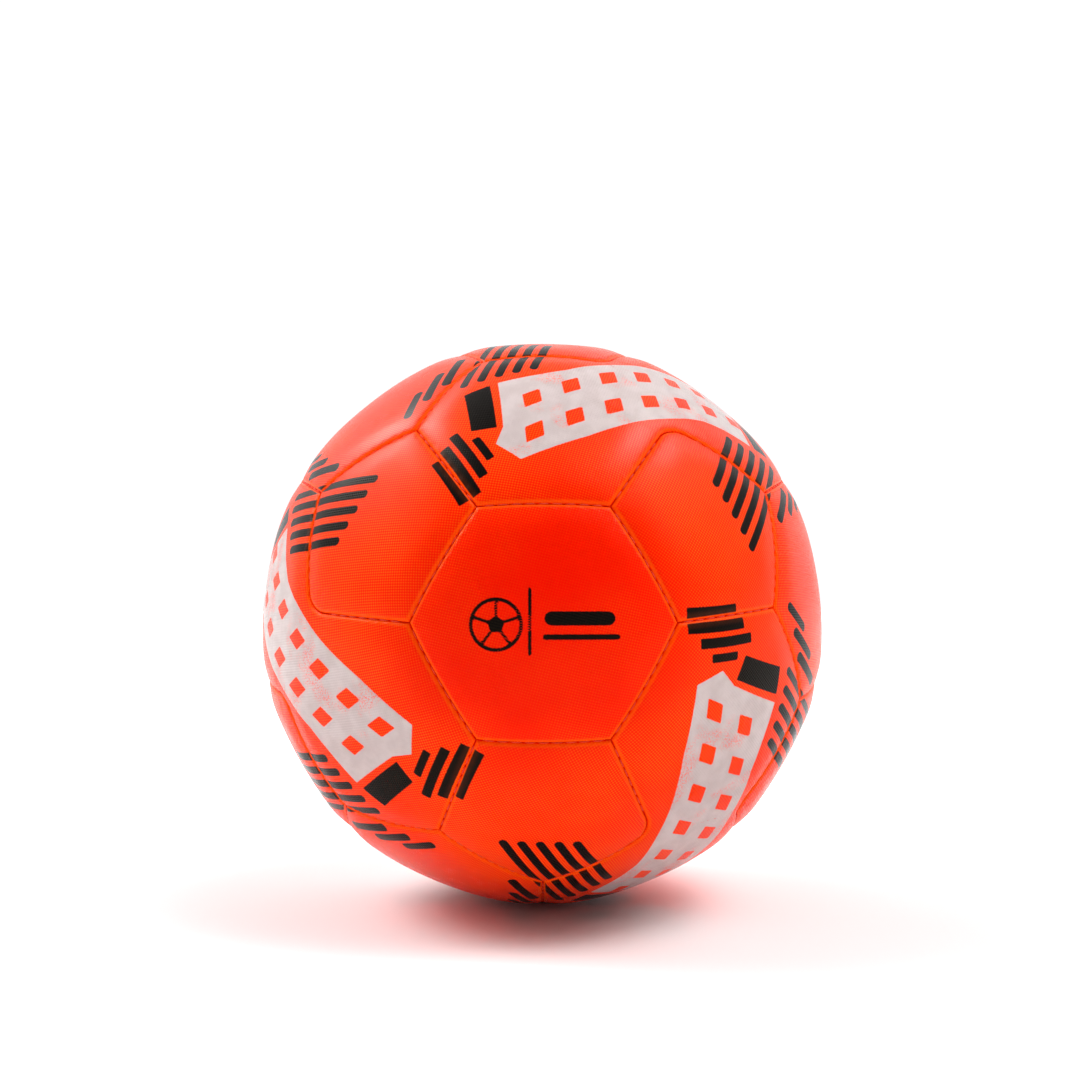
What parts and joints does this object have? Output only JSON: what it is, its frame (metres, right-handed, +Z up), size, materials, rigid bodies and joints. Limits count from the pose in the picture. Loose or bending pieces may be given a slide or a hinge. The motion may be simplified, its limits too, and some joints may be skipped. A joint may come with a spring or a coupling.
{
  "type": "soccer ball",
  "caption": "Stitched soccer ball of pentagon, hexagon and double hexagon panels with foam, lining, bladder and needle valve.",
  "frame": {"origin": "centre of the ball", "axes": "+Y out through the valve, +Z up, with the plain hexagon opposite the valve facing -Y and one of its flat sides on top"},
  "size_m": [0.22, 0.2199, 0.22],
  "materials": {
    "synthetic_leather": "fluorescent orange-red, fine woven grain, semi-matte, black and white print",
    "foam": "closed-cell foam",
    "lining_cloth": "laminated woven cloth",
    "thread": "waxed polyester thread",
    "bladder_rubber": "smooth moulded rubber",
    "valve_rubber": "moulded rubber",
    "plug_rubber": "soft rubber, slightly waxy"
  },
  "bodies": {
    "root": {"pentagon_cover_01": "synthetic_leather", "pentagon_cover_02": "synthetic_leather", "pentagon_cover_03": "synthetic_leather", "pentagon_cover_04": "synthetic_leather", "pentagon_cover_05": "synthetic_leather", "pentagon_cover_06": "synthetic_leather", "pentagon_cover_07": "synthetic_leather", "pentagon_cover_08": "synthetic_leather", "pentagon_cover_09": "synthetic_leather", "pentagon_cover_10": "synthetic_leather", "pentagon_cover_11": "synthetic_leather", "pentagon_cover_12": "synthetic_leather", "hexagon_cover_01": "synthetic_leather", "hexagon_cover_02": "synthetic_leather", "hexagon_cover_03": "synthetic_leather", "hexagon_cover_04": "synthetic_leather", "hexagon_cover_05": "synthetic_leather", "hexagon_cover_06": "synthetic_leather", "hexagon_cover_07": "synthetic_leather", "hexagon_cover_08": "synthetic_leather", "double_hexagon_cover_01": "synthetic_leather", "double_hexagon_cover_02": "synthetic_leather", "double_hexagon_cover_03": "synthetic_leather", "double_hexagon_cover_04": "synthetic_leather", "double_hexagon_cover_05": "synthetic_leather", "double_hexagon_cover_06": "synthetic_leather", "pentagon_foams": "foam", "hexagon_foams": "foam", "double_hexagon_foams": "foam", "pentagon_lining_01": "lining_cloth", "pentagon_lining_02": "lining_cloth", "pentagon_lining_03": "lining_cloth", "pentagon_lining_04": "lining_cloth", "pentagon_lining_05": "lining_cloth", "pentagon_lining_06": "lining_cloth", "pentagon_lining_07": "lining_cloth", "pentagon_lining_08": "lining_cloth", "pentagon_lining_09": "lining_cloth", "pentagon_lining_10": "lining_cloth", "pentagon_lining_11": "lining_cloth", "pentagon_lining_12": "lining_cloth", "hexagon_lining_01": "lining_cloth", "hexagon_lining_02": "lining_cloth", "hexagon_lining_03": "lining_cloth", "hexagon_lining_04": "lining_cloth", "hexagon_lining_05": "lining_cloth", "hexagon_lining_06": "lining_cloth", "hexagon_lining_07": "lining_cloth", "hexagon_lining_08": "lining_cloth", "double_hexagon_lining_01": "lining_cloth", "double_hexagon_lining_02": "lining_cloth", "double_hexagon_lining_03": "lining_cloth", "double_hexagon_lining_04": "lining_cloth", "double_hexagon_lining_05": "lining_cloth", "double_hexagon_lining_06": "lining_cloth", "seam_thread": "thread", "bladder": "bladder_rubber", "valve_housing": "valve_rubber", "valve_core": "plug_rubber", "valve_patch": "lining_cloth"}
  },
  "joints": []
}
